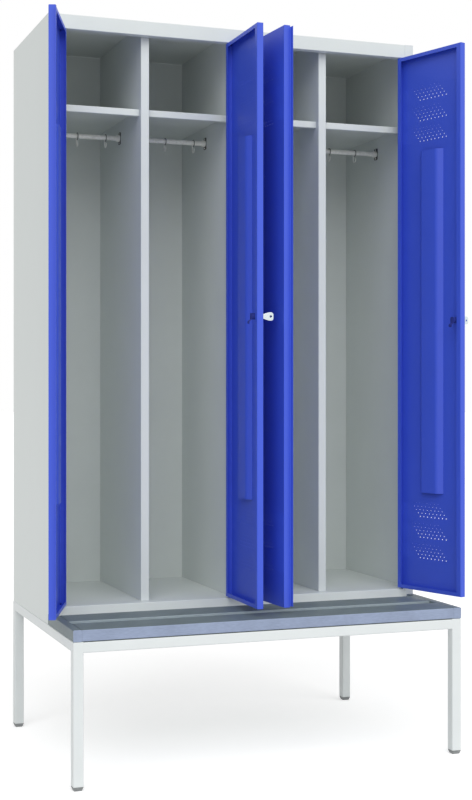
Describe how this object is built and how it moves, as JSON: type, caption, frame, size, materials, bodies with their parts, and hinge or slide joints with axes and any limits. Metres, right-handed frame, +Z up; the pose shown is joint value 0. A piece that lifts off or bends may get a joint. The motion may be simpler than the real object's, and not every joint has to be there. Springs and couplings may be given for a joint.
{
  "type": "locker with bench",
  "caption": "Steel wardrobe locker with hinged doors, hat shelves and hanging rails, on a tubular bench frame with a slatted seat in front.",
  "frame": {"origin": "on the floor, under the middle of the bounding box with the doors open as pictured", "axes": "+X to the right seen from the front, +Y from the front to the back, +Z up"},
  "size_m": [1.3312, 0.8, 2.202],
  "materials": {
    "body_paint": "light grey powder coat, satin",
    "frame_paint": "light grey powder coat, satin",
    "door_paint": "blue powder coat, satin",
    "slat_laminate": "board with a grey laminate, matt",
    "zinc_plated_steel": "zinc plated",
    "lock_chrome": "polished",
    "glide_plastic": "moulded"
  },
  "bodies": {
    "cabinet": {"bench_frame": "frame_paint", "glide_1": "glide_plastic", "glide_2": "glide_plastic", "glide_3": "glide_plastic", "glide_4": "glide_plastic", "seat_slat_1": "slat_laminate", "seat_slat_2": "slat_laminate", "side_left": "body_paint", "side_right": "body_paint", "back_panel": "body_paint", "roof": "body_paint", "floor": "body_paint", "centre_partition": "body_paint", "divider_left": "body_paint", "divider_right": "body_paint", "hat_shelf_1": "body_paint", "hat_shelf_2": "body_paint", "hat_shelf_3": "body_paint", "hat_shelf_4": "body_paint", "hanging_rail_1": "zinc_plated_steel", "hanging_rail_2": "zinc_plated_steel", "hanging_rail_3": "zinc_plated_steel", "hanging_rail_4": "zinc_plated_steel", "rail_bracket_1_left": "zinc_plated_steel", "rail_bracket_1_right": "zinc_plated_steel", "rail_bracket_2_left": "zinc_plated_steel", "rail_bracket_2_right": "zinc_plated_steel", "rail_bracket_3_left": "zinc_plated_steel", "rail_bracket_3_right": "zinc_plated_steel", "rail_bracket_4_left": "zinc_plated_steel", "rail_bracket_4_right": "zinc_plated_steel", "hinge_pin_1_bottom": "zinc_plated_steel", "hinge_pin_1_top": "zinc_plated_steel", "hinge_pin_2_bottom": "zinc_plated_steel", "hinge_pin_2_top": "zinc_plated_steel", "hinge_pin_3_bottom": "zinc_plated_steel", "hinge_pin_3_top": "zinc_plated_steel", "hinge_pin_4_bottom": "zinc_plated_steel", "hinge_pin_4_top": "zinc_plated_steel"},
    "door_1": {"door_1": "door_paint", "door_stiffener_1": "door_paint"},
    "door_2": {"door_2": "door_paint", "door_stiffener_2": "door_paint"},
    "door_3": {"door_3": "door_paint", "door_stiffener_3": "door_paint"},
    "door_4": {"door_4": "door_paint", "door_stiffener_4": "door_paint"},
    "lock_2": {"lock_wing_2": "lock_chrome", "lock_cam_2": "lock_chrome"},
    "lock_4": {"lock_wing_4": "lock_chrome", "lock_cam_4": "lock_chrome"},
    "coat_hook_1_left": {"coat_hook_1_left": "zinc_plated_steel"},
    "coat_hook_1_right": {"coat_hook_1_right": "zinc_plated_steel"},
    "coat_hook_2_left": {"coat_hook_2_left": "zinc_plated_steel"},
    "coat_hook_2_right": {"coat_hook_2_right": "zinc_plated_steel"},
    "coat_hook_3_left": {"coat_hook_3_left": "zinc_plated_steel"},
    "coat_hook_3_right": {"coat_hook_3_right": "zinc_plated_steel"},
    "coat_hook_4_left": {"coat_hook_4_left": "zinc_plated_steel"},
    "coat_hook_4_right": {"coat_hook_4_right": "zinc_plated_steel"}
  },
  "joints": [
    {"name": "door_1_hinge", "type": "hinge", "parent": "cabinet", "child": "door_1", "pos_m": [-0.56981, -0.096, 1.30995], "axis": [0, 0, 1], "range_deg": [-9.8, 110.2]},
    {"name": "door_2_hinge", "type": "hinge", "parent": "cabinet", "child": "door_2", "pos_m": [-0.03481, -0.096, 1.30995], "axis": [0, 0, 1], "range_deg": [-89, 2]},
    {"name": "door_3_hinge", "type": "hinge", "parent": "cabinet", "child": "door_3", "pos_m": [0.01619, -0.096, 1.30995], "axis": [0, 0, 1], "range_deg": [-2, 86.4]},
    {"name": "door_4_hinge", "type": "hinge", "parent": "cabinet", "child": "door_4", "pos_m": [0.55119, -0.096, 1.30995], "axis": [0, 0, 1], "range_deg": [-107.2, 12.8]},
    {"name": "lock_2_turn", "type": "hinge", "parent": "door_2", "child": "lock_2", "pos_m": [-0.03898, -0.33446, 1.30995], "axis": [-0.9998, 0.0175, 0], "range_deg": [0, 90]},
    {"name": "lock_4_turn", "type": "hinge", "parent": "door_4", "child": "lock_4", "pos_m": [0.62171, -0.32383, 1.30995], "axis": [-0.9553, -0.2957, 0], "range_deg": [0, 90]},
    {"name": "coat_hook_1_left_slide", "type": "slide", "parent": "cabinet", "child": "coat_hook_1_left", "axis": [1, 0, 0], "range_m": [-0.136, 0.087]},
    {"name": "coat_hook_1_right_slide", "type": "slide", "parent": "cabinet", "child": "coat_hook_1_right", "axis": [1, 0, 0], "range_m": [-0.087, 0.031]},
    {"name": "coat_hook_2_left_slide", "type": "slide", "parent": "cabinet", "child": "coat_hook_2_left", "axis": [1, 0, 0], "range_m": [-0.109, 0.091]},
    {"name": "coat_hook_2_right_slide", "type": "slide", "parent": "cabinet", "child": "coat_hook_2_right", "axis": [1, 0, 0], "range_m": [-0.091, 0.025]},
    {"name": "coat_hook_3_left_slide", "type": "slide", "parent": "cabinet", "child": "coat_hook_3_left", "axis": [1, 0, 0], "range_m": [-0.109, 0.091]},
    {"name": "coat_hook_3_right_slide", "type": "slide", "parent": "cabinet", "child": "coat_hook_3_right", "axis": [1, 0, 0], "range_m": [-0.091, 0.025]},
    {"name": "coat_hook_4_left_slide", "type": "slide", "parent": "cabinet", "child": "coat_hook_4_left", "axis": [1, 0, 0], "range_m": [-0.101, 0.089]},
    {"name": "coat_hook_4_right_slide", "type": "slide", "parent": "cabinet", "child": "coat_hook_4_right", "axis": [1, 0, 0], "range_m": [-0.089, 0.065]}
  ]
}
